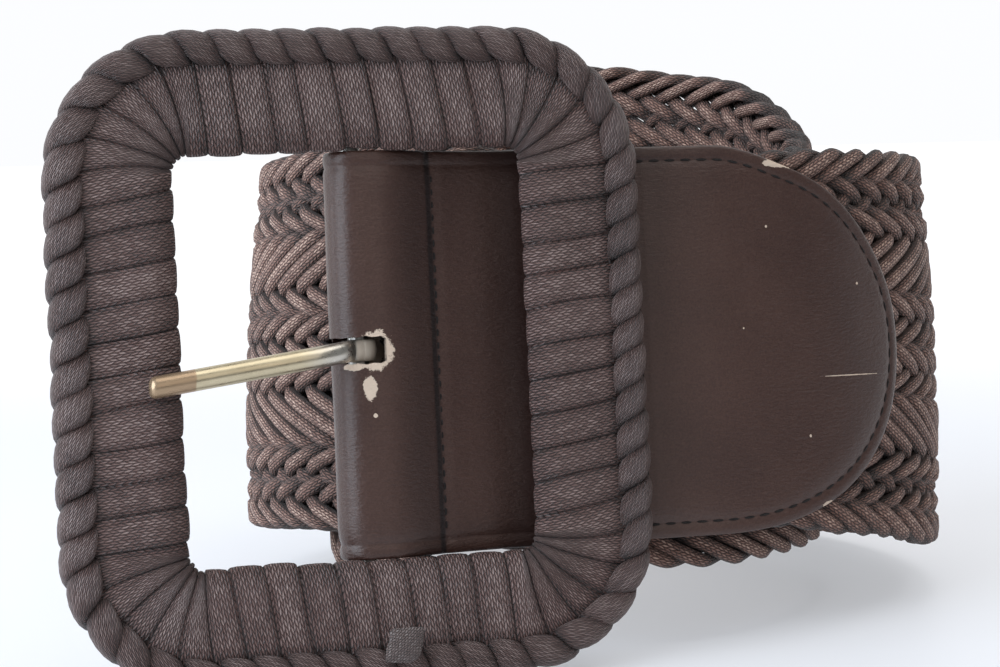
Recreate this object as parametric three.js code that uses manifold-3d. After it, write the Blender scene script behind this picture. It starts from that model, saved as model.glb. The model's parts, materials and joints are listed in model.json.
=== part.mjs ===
// Waist belt: a wide flat plaited strap rolled in a coil on its edge, a leather tab folded
// round the centre bar of a rectangular frame buckle wound with cord, and a wire prong.
// Millimetres, +Z up. The pieces are first placed in the buckle's own upright frame:
// x along the buckle, y towards the back, z along the centre bar, origin at the bar's middle.
// The whole belt then leans back and stands with its origin below its middle.

import * as THREE from 'three';
import { mergeVertices } from 'three/addons/utils/BufferGeometryUtils.js';
import Module from 'manifold-3d';

const wasm = await Module();
wasm.setup();

// Stance
const LEAN_BACK = 7; // degrees, top away from the front
const GAP = 0.3; // clearance between touching pieces

// Buckle frame: a rectangle with round corners, the wrapping included
const OPENING_HALF_WIDTH = 33.7;
const OPENING_HALF_HEIGHT = 39;
const OPENING_CORNER = 4;
const OUTER_HALF_WIDTH = 56.9;
const OUTER_HALF_HEIGHT = 62;
const OUTER_CORNER = 28;
const FRAME_SHIFT = -1.3; // the bar stands a little right of the frame's middle
const FRAME_PLANE = -3; // the bar is set back behind the frame's middle plane
const FRAME_HALF_DEPTH = 4.5;

// Wrapping and edging
const WRAP_COUNT = 60;
const RIB_RELIEF = 0.45;
const RIDGE_WIDTH = 7.8;
const RIDGE_HALF_DEPTH = 4.9;
const RIDGE_RELIEF = 0.55;
const RIDGE_STEPS_PER_WRAP = 3;
const RIDGE_SIDES = 7;

// Core
const CORE_WALL = 1.2; // least thickness of the wrapping over the core
const CORE_SETBACK = 0.6; // more at the opening's edge, where the wrapping is lower
const CORNER_STEPS = 7;

// Centre bar and prong
const BAR_RADIUS = 2;
const BAR_SIDES = 16;
const PRONG_LOOP_INNER = 2.3;
const PRONG_LOOP_OUTER = 3.5;
const PRONG_RADIUS = 2.05;
const PRONG_HEIGHT = 0.9; // where the prong leaves the bar, above the bar's middle
const PRONG_DROOP = 7.8; // degrees below the buckle's horizontal
const PRONG_SIDES = 12;

// Leather
const LEATHER = 1.4;
const FOLD_INNER = 3.7;
const FOLD_STEPS = 12;
const TAB_HALF_HEIGHT = 38.3;
const TAB_STRAIGHT_END = 73; // from here the end rounds off
const TAB_END = 118.5;
const SLOT = { left: -7, right: 4.2, front: -7, back: 3, halfHeight: 2.7 };

// Strap
const SEWN_HALF_THICKNESS = 2.6; // pressed flat between the leather layers
const END_HALF_THICKNESS = 1.6; // at the seam beside the bar
const END_RUN = 12; // length over which it thickens from there
const STRAP_HALF_THICKNESS = 3.25;
const STRAP_START = 15;
const SETBACK = 7; // how far the strap runs behind the bar
const SETBACK_END = 31;
const COIL_CENTRE = { x: 66.5, y: 73.6 };
const COIL_STEP = 12; // degrees, and half of it under the leather

// The coil seen from above: angle round its centre from the front towards the right,
// the strap's radius, its lift along the bar's direction, its half height, how far its
// upper edge tilts inward, and how far its middle bows outward.
const COIL = [
  { angle: 0, radius: 66.6, lift: 0, half: 38.2, tilt: 0, bow: 0 },
  { angle: 30, radius: 68.6, lift: -1.2, half: 39.8, tilt: 0, bow: 0.4 },
  { angle: 60, radius: 71.6, lift: -3.6, half: 42.4, tilt: 0, bow: 1.2 },
  { angle: 90, radius: 72.7, lift: -4.2, half: 42.8, tilt: 0, bow: 1.8 },
  { angle: 120, radius: 73.4, lift: -4.4, half: 42.6, tilt: 0, bow: 1.8 },
  { angle: 150, radius: 73.6, lift: -1.9, half: 42.1, tilt: 0.4, bow: 1.6 },
  { angle: 180, radius: 73.5, lift: -1.2, half: 41.6, tilt: 1, bow: 1.6 },
  { angle: 225, radius: 73.2, lift: 2, half: 40.8, tilt: 2.6, bow: 1.6 },
  { angle: 270, radius: 72, lift: 4, half: 40.2, tilt: 3.2, bow: 1.6 },
  { angle: 310, radius: 67.2, lift: 3.4, half: 40.2, tilt: 2.2, bow: 1 },
  { angle: 340, radius: 60, lift: -2, half: 40.8, tilt: 0.4, bow: 0.2 },
  { angle: 360, radius: 57, lift: -4.4, half: 41.4, tilt: 0, bow: 0 },
  { angle: 405, radius: 50, lift: -2, half: 42.2, tilt: 0, bow: 0.5 },
  { angle: 430, radius: 47.9, lift: 3, half: 42.4, tilt: 0, bow: 0.8 },
  { angle: 450, radius: 46.2, lift: 10.5, half: 42.5, tilt: 0, bow: 0.8 },
  { angle: 472, radius: 45.8, lift: 18.3, half: 42.5, tilt: 0, bow: 0.8 },
  { angle: 495, radius: 47, lift: 22.8, half: 42.3, tilt: 0, bow: 0.8 },
  { angle: 520, radius: 49, lift: 26.6, half: 42, tilt: 0, bow: 0.8 },
  { angle: 545, radius: 50.5, lift: 26, half: 42, tilt: 0, bow: 0.8 },
  { angle: 590, radius: 54.5, lift: 13, half: 41.5, tilt: 0, bow: 0.8 },
  { angle: 630, radius: 57.4, lift: -4, half: 41, tilt: 0, bow: 0.8 },
  { angle: 665, radius: 56, lift: -5, half: 41, tilt: 0, bow: 0.8 },
];

// The strap's section: place across it as a share of the half height, and the share of
// the half thickness there. The grooves lie beside the two edge plaits.
const STRAP_SECTION = [
  { across: 1, thick: 0.3 },
  { across: 0.96, thick: 0.88 },
  { across: 0.84, thick: 1 },
  { across: 0.72, thick: 0.7 },
  { across: 0.56, thick: 1 },
  { across: 0, thick: 0.96 },
];

// The wrapping's section: place from the inner edge outward as a share of the wrapped
// width, and the share of the half depth there.
const WRAP_SECTION = [
  { along: 0, deep: 0.42 },
  { along: 0.08, deep: 0.7 },
  { along: 0.27, deep: 1 },
  { along: 0.6, deep: 0.98 },
  { along: 1, deep: 0.9 },
];

const RING_WIDTH = OUTER_HALF_WIDTH - OPENING_HALF_WIDTH;
const WRAPPED_SHARE = 1 - (RIDGE_WIDTH + GAP) / RING_WIDTH;

const material = (color, roughness, metalness) =>
  new THREE.MeshStandardMaterial({ color, roughness, metalness });

// Solids from rings of points

function signedVolume(points, triangles) {
  let sum = 0;
  for (const [a, b, c] of triangles) {
    sum += points[a].dot(new THREE.Vector3().crossVectors(points[b], points[c]));
  }
  return sum / 6;
}

function closedGeometry(points, triangles) {
  const outward = signedVolume(points, triangles) > 0;
  const faces = outward ? triangles : triangles.map(([a, b, c]) => [a, c, b]);
  const geometry = new THREE.BufferGeometry();
  geometry.setAttribute(
    'position',
    new THREE.Float32BufferAttribute(points.flatMap((p) => p.toArray()), 3)
  );
  geometry.setIndex(faces.flat());
  geometry.computeVertexNormals();
  return geometry;
}

// Joins equal rings of points in order. An open row of rings gets two end faces, whose
// triangles come from the flat outline of one section.
function loft(rings, endOutline = null) {
  const sides = rings[0].length;
  const triangles = [];
  const last = endOutline ? rings.length - 1 : rings.length;
  for (let i = 0; i < last; i += 1) {
    const here = i * sides;
    const next = ((i + 1) % rings.length) * sides;
    for (let j = 0; j < sides; j += 1) {
      const k = (j + 1) % sides;
      triangles.push([here + j, next + j, next + k], [here + j, next + k, here + k]);
    }
  }
  if (endOutline) {
    const end = (rings.length - 1) * sides;
    const reversed = THREE.ShapeUtils.isClockWise(endOutline);
    for (const face of THREE.ShapeUtils.triangulateShape(endOutline, [])) {
      const [a, b, c] = reversed ? [face[0], face[2], face[1]] : face;
      triangles.push([a, b, c], [end + a, end + c, end + b]);
    }
  }
  return closedGeometry(rings.flat(), triangles);
}

function toManifold(source) {
  const bare = source.clone();
  bare.deleteAttribute('normal');
  bare.deleteAttribute('uv');
  const merged = mergeVertices(bare, 1e-4);
  return new wasm.Manifold(new wasm.Mesh({
    numProp: 3,
    vertProperties: new Float32Array(merged.attributes.position.array),
    triVerts: new Uint32Array(merged.index.array),
  }));
}

function fromManifold(solid) {
  const mesh = solid.getMesh();
  const geometry = new THREE.BufferGeometry();
  geometry.setAttribute('position', new THREE.BufferAttribute(mesh.vertProperties, 3));
  geometry.setIndex(new THREE.BufferAttribute(mesh.triVerts, 1));
  geometry.computeVertexNormals();
  return geometry;
}

// A round bar along z
function barGeometry(radius, halfLength, sides = BAR_SIDES) {
  return new THREE.CylinderGeometry(radius, radius, 2 * halfLength, sides).rotateX(Math.PI / 2);
}

// Buckle frame

// Walks the frame anticlockwise from the middle of its right side. Gives the matching
// places on the opening's edge and on the outer outline, as [x, z] pairs, at a distance
// along the outer outline.
const SIDE_RUN = OUTER_HALF_HEIGHT - OUTER_CORNER;
const TOP_RUN = OUTER_HALF_WIDTH - OUTER_CORNER;
const CORNER_RUN = (Math.PI / 2) * OUTER_CORNER;
const OUTLINE_LENGTH = 4 * (SIDE_RUN + TOP_RUN + CORNER_RUN);

function quarterStation(distance) {
  const innerSide = OPENING_HALF_HEIGHT - OPENING_CORNER;
  const innerTop = OPENING_HALF_WIDTH - OPENING_CORNER;
  if (distance <= SIDE_RUN) {
    const share = distance / SIDE_RUN;
    return {
      inner: [OPENING_HALF_WIDTH, innerSide * share],
      outer: [OUTER_HALF_WIDTH, SIDE_RUN * share],
    };
  }
  if (distance <= SIDE_RUN + CORNER_RUN) {
    const turn = (distance - SIDE_RUN) / OUTER_CORNER;
    const cos = Math.cos(turn);
    const sin = Math.sin(turn);
    return {
      inner: [innerTop + OPENING_CORNER * cos, innerSide + OPENING_CORNER * sin],
      outer: [TOP_RUN + OUTER_CORNER * cos, SIDE_RUN + OUTER_CORNER * sin],
    };
  }
  const share = 1 - (distance - SIDE_RUN - CORNER_RUN) / TOP_RUN;
  return {
    inner: [innerTop * share, OPENING_HALF_HEIGHT],
    outer: [TOP_RUN * share, OUTER_HALF_HEIGHT],
  };
}

// The distance along the outline after a number of the cord's turns. They are evenly
// spaced where the wrapping meets the ridge, so they are further apart outside a corner.
function turnDistance(turns) {
  const corner = CORNER_RUN * (1 - RIDGE_WIDTH / OUTER_CORNER);
  const quarter = SIDE_RUN + TOP_RUN + corner;
  const walked = ((turns / WRAP_COUNT) * 4 * quarter) % (4 * quarter);
  const index = Math.floor(walked / quarter);
  const mirrored = index % 2 === 1;
  const rest = mirrored ? (index + 1) * quarter - walked : walked - index * quarter;
  let along = rest;
  if (rest > SIDE_RUN + corner) {
    along = rest - corner + CORNER_RUN;
  } else if (rest > SIDE_RUN) {
    along = SIDE_RUN + ((rest - SIDE_RUN) * CORNER_RUN) / corner;
  }
  return (OUTLINE_LENGTH / 4) * (mirrored ? index + 1 : index) + (mirrored ? -along : along);
}

function frameStation(distance) {
  const quarter = OUTLINE_LENGTH / 4;
  const index = Math.floor(distance / quarter) % 4;
  const rest = distance - Math.floor(distance / quarter) * quarter;
  const mirrored = index % 2 === 1;
  const place = quarterStation(mirrored ? quarter - rest : rest);
  const signX = index === 1 || index === 2 ? -1 : 1;
  const signZ = index >= 2 ? -1 : 1;
  const turned = ([x, z]) => [signX * x, signZ * z];
  return { inner: turned(place.inner), outer: turned(place.outer) };
}

// One point of the frame's cross-section: a distance outward from the opening's edge as
// a share of the ring's width, and a depth from the frame's middle plane.
function framePoint(station, share, depth, inset = 0) {
  const [xi, zi] = station.inner;
  const [xo, zo] = station.outer;
  const length = Math.hypot(xo - xi, zo - zi);
  const t = share + inset / length;
  return new THREE.Vector3(
    FRAME_SHIFT + xi + (xo - xi) * t,
    FRAME_PLANE + depth,
    zi + (zo - zi) * t
  );
}

// Distances of the stations of a plain ring: ends of the straight sides and corner steps
function plainDistances() {
  const quarter = OUTLINE_LENGTH / 4;
  const distances = [];
  for (let index = 0; index < 4; index += 1) {
    const start = index % 2 === 0 ? SIDE_RUN : TOP_RUN;
    for (let step = 0; step <= CORNER_STEPS; step += 1) {
      distances.push(index * quarter + start + (CORNER_RUN * step) / CORNER_STEPS);
    }
  }
  return distances;
}

function coreRing(growth) {
  const halfDepth = FRAME_HALF_DEPTH - RIB_RELIEF - CORE_WALL - GAP - CORE_SETBACK / 3 + growth;
  const from = RIB_RELIEF + CORE_WALL + GAP + CORE_SETBACK - growth;
  const to = RING_WIDTH * WRAPPED_SHARE - CORE_WALL - GAP + growth;
  const bevel = 1;
  const section = [
    [from, halfDepth - bevel], [from + bevel, halfDepth],
    [to - bevel, halfDepth], [to, halfDepth - bevel],
    [to, bevel - halfDepth], [to - bevel, -halfDepth],
    [from + bevel, -halfDepth], [from, bevel - halfDepth],
  ];
  return loft(plainDistances().map((distance) => {
    const station = frameStation(distance);
    return section.map(([across, depth]) => framePoint(station, 0, depth, across));
  }));
}

function buckleCore() {
  const reach = OPENING_HALF_HEIGHT + 6;
  return fromManifold(toManifold(coreRing(0)).add(toManifold(barGeometry(BAR_RADIUS, reach))));
}

// The cord's turns show as ribs: one station on each rib and one in each groove.
function cordWrap() {
  const rings = [];
  const front = WRAP_SECTION.map(({ along, deep }) => [along * WRAPPED_SHARE, -deep]);
  const back = front.map(([share, deep]) => [share, -deep]).reverse();
  for (let step = 0; step < 2 * WRAP_COUNT; step += 1) {
    const station = frameStation(turnDistance(step / 2));
    const sink = step % 2 === 0 ? 0 : RIB_RELIEF;
    rings.push([...front, ...back].map(([share, deep]) => {
      const inset = share < WRAP_SECTION[2].along * WRAPPED_SHARE ? sink : 0;
      return framePoint(station, share, deep * (FRAME_HALF_DEPTH - sink), inset);
    }));
  }
  const sleeve = toManifold(loft(rings));
  const cavity = toManifold(coreRing(GAP));
  const barHole = toManifold(barGeometry(BAR_RADIUS + GAP, OPENING_HALF_HEIGHT + 6 + GAP));
  return fromManifold(sleeve.subtract(cavity).subtract(barHole));
}

// The half hitches along the outer edge: a bead of slanted lobes, one to each turn of cord
function edgeRidge() {
  const rings = [];
  const steps = WRAP_COUNT * RIDGE_STEPS_PER_WRAP;
  const middle = 1 - RIDGE_WIDTH / 2 / RING_WIDTH;
  const halfShare = RIDGE_WIDTH / 2 / RING_WIDTH;
  for (let step = 0; step < steps; step += 1) {
    const station = frameStation(turnDistance(step / RIDGE_STEPS_PER_WRAP));
    const ring = [];
    for (let side = 0; side < RIDGE_SIDES; side += 1) {
      const angle = (2 * Math.PI * side) / RIDGE_SIDES;
      const slant = Math.cos(angle) * 0.35;
      const lobe = Math.abs(Math.sin(Math.PI * (step / RIDGE_STEPS_PER_WRAP + slant)));
      const reach = 1 - (RIDGE_RELIEF / RIDGE_HALF_DEPTH) * (1 - lobe);
      const share = middle + halfShare * Math.cos(angle) * reach;
      ring.push(framePoint(station, share, RIDGE_HALF_DEPTH * Math.sin(angle) * reach));
    }
    rings.push(ring);
  }
  return loft(rings);
}

function cordEnd() {
  const geometry = new THREE.SphereGeometry(1, 10, 7);
  geometry.scale(4.6, 1.4, 3.6);
  geometry.rotateY(-0.5);
  const front = FRAME_PLANE - RIDGE_HALF_DEPTH - GAP - 1.4;
  geometry.translate(4.5, front, -OUTER_HALF_HEIGHT + 8);
  return geometry;
}

// Prong: a loop on the bar, and a wire that swells from the loop to its full thickness
const PRONG_ROUTE = [
  { x: 0.7, y: -2.85, half: 0.55 },
  { x: -1.6, y: -4.3, half: 0.8 },
  { x: -4.4, y: -6.5, half: 1.4 },
  { x: -9, y: -7.9, half: PRONG_RADIUS },
  { x: -20, y: -8.95, half: PRONG_RADIUS },
  { x: -39.4, y: -9.95, half: PRONG_RADIUS },
  { x: -40.3, y: -10, half: 1.6 },
  { x: -40.7, y: -10, half: 0.8 },
];

function prong() {
  const rings = PRONG_ROUTE.map(({ x, y, half }, index) => {
    const before = PRONG_ROUTE[Math.max(index - 1, 0)];
    const after = PRONG_ROUTE[Math.min(index + 1, PRONG_ROUTE.length - 1)];
    const length = Math.hypot(after.x - before.x, after.y - before.y);
    const across = [-(after.y - before.y) / length, (after.x - before.x) / length];
    const droop = Math.max(0, -x - 2) * Math.tan(THREE.MathUtils.degToRad(PRONG_DROOP));
    const high = index < 6 ? PRONG_RADIUS : half;
    const ring = [];
    for (let side = 0; side < PRONG_SIDES; side += 1) {
      const angle = (2 * Math.PI * side) / PRONG_SIDES;
      ring.push(new THREE.Vector3(
        x + across[0] * half * Math.cos(angle),
        y + across[1] * half * Math.cos(angle),
        PRONG_HEIGHT - droop + high * Math.sin(angle)
      ));
    }
    return ring;
  });
  const outline = Array.from({ length: PRONG_SIDES }, (_, side) => {
    const angle = (2 * Math.PI * side) / PRONG_SIDES;
    return new THREE.Vector2(Math.cos(angle), Math.sin(angle));
  });
  const loopOuter = toManifold(barGeometry(PRONG_LOOP_OUTER, PRONG_RADIUS));
  const loopHole = toManifold(barGeometry(PRONG_LOOP_INNER, PRONG_RADIUS + 3));
  const lifted = loopOuter.add(toManifold(loft(rings, outline).translate(0, 0, -PRONG_HEIGHT)));
  return fromManifold(lifted.subtract(loopHole)).translate(0, 0, PRONG_HEIGHT);
}

// Strap's route, as stations with a place, a direction and a height

function smoothRow(rows, angle, name) {
  let index = rows.findIndex((row) => row.angle > angle) - 1;
  if (index < 0) index = rows.length - 2;
  const row = (i) => rows[Math.min(Math.max(i, 0), rows.length - 1)];
  const [a, b, c, d] = [row(index - 1), row(index), row(index + 1), row(index + 2)];
  const t = (angle - b.angle) / (c.angle - b.angle);
  const span = c.angle - b.angle;
  const slopeB = index === 0 ? 0 : ((c[name] - a[name]) / (c.angle - a.angle)) * span;
  const slopeC = d === c ? c[name] - b[name] : ((d[name] - b[name]) / (d.angle - b.angle)) * span;
  return b[name] * (2 * t ** 3 - 3 * t ** 2 + 1) + slopeB * (t ** 3 - 2 * t ** 2 + t)
    + c[name] * (3 * t ** 2 - 2 * t ** 3) + slopeC * (t ** 3 - t ** 2);
}

function blend(value, low, high) {
  const t = THREE.MathUtils.clamp((value - low) / (high - low), 0, 1);
  return t * t * (3 - 2 * t);
}

function setback(x) {
  return SETBACK * blend(x, 4, SETBACK_END);
}

const STRAIGHT_STATIONS = [0, 4, 8, 12, STRAP_START, 19, 23, 27, SETBACK_END, 36, 46, 56];

function buildRoute() {
  const { lift, half, tilt, bow } = COIL[0];
  const stations = STRAIGHT_STATIONS.map((x) => ({ x, y: setback(x), lift, half, tilt, bow }));
  const lastAngle = COIL[COIL.length - 1].angle;
  for (let angle = 0; angle <= lastAngle; angle += angle < 50 ? COIL_STEP / 2 : COIL_STEP) {
    const turn = THREE.MathUtils.degToRad(angle);
    const radius = smoothRow(COIL, angle, 'radius');
    stations.push({
      x: COIL_CENTRE.x + radius * Math.sin(turn),
      y: COIL_CENTRE.y - radius * Math.cos(turn),
      lift: smoothRow(COIL, angle, 'lift'),
      half: smoothRow(COIL, angle, 'half'),
      tilt: smoothRow(COIL, angle, 'tilt'),
      bow: smoothRow(COIL, angle, 'bow'),
    });
  }
  let length = 0;
  stations.forEach((station, index) => {
    const before = stations[Math.max(index - 1, 0)];
    const after = stations[Math.min(index + 1, stations.length - 1)];
    const run = Math.hypot(after.x - before.x, after.y - before.y);
    station.normal = [-(after.y - before.y) / run, (after.x - before.x) / run];
    length += Math.hypot(station.x - before.x, station.y - before.y);
    station.length = length;
  });
  return stations;
}

const ROUTE = buildRoute();

// A point beside the route: offset to the back, and height along the bar
function beside(station, offset, height) {
  return new THREE.Vector3(
    station.x + station.normal[0] * offset,
    station.y + station.normal[1] * offset,
    height
  );
}

function strapThickness(length) {
  const atEnd = (SEWN_HALF_THICKNESS - END_HALF_THICKNESS)
    * (1 - blend(length, STRAP_START - 1, STRAP_START + END_RUN));
  const t = THREE.MathUtils.clamp((length - TAB_END + 10) / 24, 0, 1);
  return SEWN_HALF_THICKNESS - atEnd + (STRAP_HALF_THICKNESS - SEWN_HALF_THICKNESS) * t;
}

// Inside the leather the strap is drawn in, so that it stays within the tab.
function strapHalfHeight(station) {
  const t = THREE.MathUtils.clamp((station.length - TAB_STRAIGHT_END) / 30, 0, 1);
  return Math.min(station.half, TAB_HALF_HEIGHT - 1 + (station.half - TAB_HALF_HEIGHT + 1) * t);
}

function strap() {
  const lower = STRAP_SECTION.slice(0, -1).reverse();
  const front = [
    ...STRAP_SECTION,
    ...lower.map(({ across, thick }) => ({ across: -across, thick })),
  ];
  const section = [
    ...front.map(({ across, thick }) => [-thick, across]),
    ...front.slice().reverse().map(({ across, thick }) => [thick, across]),
  ];
  const rings = ROUTE.filter((station) => station.x >= STRAP_START || station.length > STRAP_START)
    .map((station) => {
      const thick = strapThickness(station.length);
      const half = strapHalfHeight(station);
      return section.map(([offset, across]) => {
        const shape = station.tilt * across + station.bow * (across * across - 0.35);
        return beside(station, offset * thick + shape, station.lift + half * across);
      });
    });
  return loft(rings, section.map(([offset, across]) => new THREE.Vector2(offset, across)));
}

// Leather tab

function tabHalfHeight(length) {
  if (length > TAB_STRAIGHT_END) {
    const t = (length - TAB_STRAIGHT_END) / (TAB_END - TAB_STRAIGHT_END);
    return TAB_HALF_HEIGHT * Math.sqrt(Math.max(1 - t ** 2.1, 0.02));
  }
  return TAB_HALF_HEIGHT;
}

// Stations of one leather layer: the route up to the tab's end, with more toward the tip
function tabStations() {
  const inside = ROUTE.filter((station) => station.length < TAB_END && station.x > 0.1);
  const after = ROUTE[ROUTE.indexOf(inside[inside.length - 1]) + 1];
  const rows = [];
  inside.forEach((station, index) => {
    rows.push(station);
    const next = inside[index + 1] ?? after;
    if (station.length > TAB_STRAIGHT_END - 8) {
      const parts = next === after ? 5 : 2;
      for (let part = 1; part < parts; part += 1) {
        rows.push(between(station, next, part / parts));
      }
    }
  });
  return rows.filter((station) => station.length <= TAB_END - 0.4);
}

function between(a, b, t) {
  const mix = (p, q) => p + (q - p) * t;
  return {
    x: mix(a.x, b.x),
    y: mix(a.y, b.y),
    lift: mix(a.lift, b.lift),
    length: mix(a.length, b.length),
    normal: [mix(a.normal[0], b.normal[0]), mix(a.normal[1], b.normal[1])],
  };
}

function layerOffset(station) {
  const atFold = FOLD_INNER + LEATHER / 2;
  const overStrap = strapThickness(station.length) + GAP + LEATHER / 2;
  return atFold + (overStrap - atFold) * blend(station.length, 3, STRAP_START - 1);
}

function leatherTab() {
  const stations = tabStations();
  const layer = (side) => stations.map((station) => {
    const middle = side * layerOffset(station);
    const half = tabHalfHeight(station.length);
    const lift = station.lift * THREE.MathUtils.clamp((station.length - 75) / 40, 0, 1);
    return [
      beside(station, middle - LEATHER / 2, lift - half),
      beside(station, middle + LEATHER / 2, lift - half),
      beside(station, middle + LEATHER / 2, lift + half),
      beside(station, middle - LEATHER / 2, lift + half),
    ];
  });
  const fold = [];
  for (let step = 0; step <= FOLD_STEPS; step += 1) {
    const turn = Math.PI / 2 + (Math.PI * step) / FOLD_STEPS;
    const corner = (radius, z) =>
      new THREE.Vector3(radius * Math.cos(turn), radius * Math.sin(turn), z);
    fold.push([
      corner(FOLD_INNER, -TAB_HALF_HEIGHT),
      corner(FOLD_INNER + LEATHER, -TAB_HALF_HEIGHT),
      corner(FOLD_INNER + LEATHER, TAB_HALF_HEIGHT),
      corner(FOLD_INNER, TAB_HALF_HEIGHT),
    ]);
  }
  // The back layer is walked towards the fold, the front layer away from it, and its
  // inner and outer faces change sides on the way.
  const back = layer(1).reverse();
  const front = layer(-1).map(([a, b, c, d]) => [b, a, d, c]);
  const outline = [[0, 0], [1, 0], [1, 1], [0, 1]].map(([x, y]) => new THREE.Vector2(x, y));
  const sheet = toManifold(loft([...back, ...fold, ...front], outline));
  const slot = new THREE.BoxGeometry(
    SLOT.right - SLOT.left, SLOT.back - SLOT.front, 2 * SLOT.halfHeight
  );
  slot.translate((SLOT.left + SLOT.right) / 2, (SLOT.front + SLOT.back) / 2, PRONG_HEIGHT);
  return fromManifold(sheet.subtract(toManifold(slot)));
}

// Assembly

const pieces = [
  ['buckle_core', buckleCore(), material(0x8a8580, 0.45, 0.8)],
  ['cord_wrap', cordWrap(), material(0x4a3a34, 0.75, 0)],
  ['edge_ridge', edgeRidge(), material(0x46362f, 0.75, 0)],
  ['cord_end', cordEnd(), material(0x5a514b, 0.85, 0)],
  ['prong', prong(), material(0xcbb48a, 0.25, 1)],
  ['leather_tab', leatherTab(), material(0x2f1d18, 0.35, 0)],
  ['strap', strap(), material(0x5d4a3e, 0.85, 0)],
];

const leaning = new THREE.Group();
leaning.rotation.x = -THREE.MathUtils.degToRad(LEAN_BACK);
for (const [name, geometry, look] of pieces) {
  const mesh = new THREE.Mesh(geometry, look);
  mesh.name = name;
  leaning.add(mesh);
}

// The origin lies below the middle of the whole belt, at its lowest points.
leaning.updateMatrixWorld(true);
const extent = new THREE.Box3().setFromObject(leaning, true);
const middle = extent.getCenter(new THREE.Vector3());
leaning.position.set(-middle.x, -middle.y, -extent.min.z);

const belt = new THREE.Group();
belt.add(leaning);

export default belt;
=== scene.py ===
"""Looks of a waist belt: plaited strap, folded leather tab, cord-wound buckle and wire prong."""

import json
import math

import bpy
import numpy as np
from mathutils import Matrix, Vector


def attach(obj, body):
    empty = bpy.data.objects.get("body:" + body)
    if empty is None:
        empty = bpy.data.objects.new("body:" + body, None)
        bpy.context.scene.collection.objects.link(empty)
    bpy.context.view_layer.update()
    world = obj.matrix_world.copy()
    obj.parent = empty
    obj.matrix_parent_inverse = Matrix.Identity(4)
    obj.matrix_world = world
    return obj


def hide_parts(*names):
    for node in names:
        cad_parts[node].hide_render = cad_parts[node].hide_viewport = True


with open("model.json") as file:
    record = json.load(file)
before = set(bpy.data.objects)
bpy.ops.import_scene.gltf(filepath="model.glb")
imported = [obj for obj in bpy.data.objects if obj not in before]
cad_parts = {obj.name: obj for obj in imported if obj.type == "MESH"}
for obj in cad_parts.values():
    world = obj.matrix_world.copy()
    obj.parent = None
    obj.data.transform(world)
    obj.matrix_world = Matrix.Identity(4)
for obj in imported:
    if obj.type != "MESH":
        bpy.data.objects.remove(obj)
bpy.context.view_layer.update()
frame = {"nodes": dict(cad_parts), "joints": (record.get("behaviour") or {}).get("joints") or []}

# Local frame of the buckle, in millimetres: x along it, y to the back, z along the centre bar
hinge = next(joint for joint in frame["joints"] if joint["name"] == "frame_turn")
BAR = np.array(hinge["pos_m"])
UP = -np.array(hinge["axis"], float)
RIGHT = np.array([1.0, 0.0, 0.0])
BACK = np.cross(UP, RIGHT)
# Sine of the 7 degrees that the bar leans to the back
LEAN_SINE = 0.122

# Buckle frame, and the turns of cord round it
OPENING_HALF_WIDTH = 33.7
OPENING_HALF_HEIGHT = 39.0
OPENING_CORNER = 4.0
OUTER_HALF_WIDTH = 56.9
OUTER_HALF_HEIGHT = 62.0
OUTER_CORNER = 28.0
FRAME_SHIFT = -1.3
FRAME_PLANE = -3.0
RIDGE_WIDTH = 7.8
RING_WIDTH = OUTER_HALF_WIDTH - OPENING_HALF_WIDTH
WRAP_COUNT = 60
SIDE_RUN = OUTER_HALF_HEIGHT - OUTER_CORNER
TOP_RUN = OUTER_HALF_WIDTH - OUTER_CORNER
CORNER_RUN = math.pi / 2 * OUTER_CORNER
OUTLINE_LENGTH = 4 * (SIDE_RUN + TOP_RUN + CORNER_RUN)
QUARTER = OUTLINE_LENGTH / 4
# The turns are evenly spaced where the wrapping meets the ridge
SEAM_CORNER = CORNER_RUN * (1 - RIDGE_WIDTH / OUTER_CORNER)
SEAM_QUARTER = SIDE_RUN + TOP_RUN + SEAM_CORNER
PITCH = 4 * SEAM_QUARTER / WRAP_COUNT

# Leather: its thickness, the radius of the fold's middle and the seams across the tab
LEATHER = 1.4
FOLD_MIDDLE = 4.4
HALF_FOLD = math.pi / 2 * FOLD_MIDDLE
CROSS_SEAMS = (14.6, 57.8)
TAB_HALF_HEIGHT = 38.3
TAB_STRAIGHT_END = 73.0
TAB_END = 118.5

# Prong: its wire and its height on the centre bar
WIRE_RADIUS = 2.05
PRONG_HEIGHT = 0.9
PRONG_LENGTH = 40.7

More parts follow.
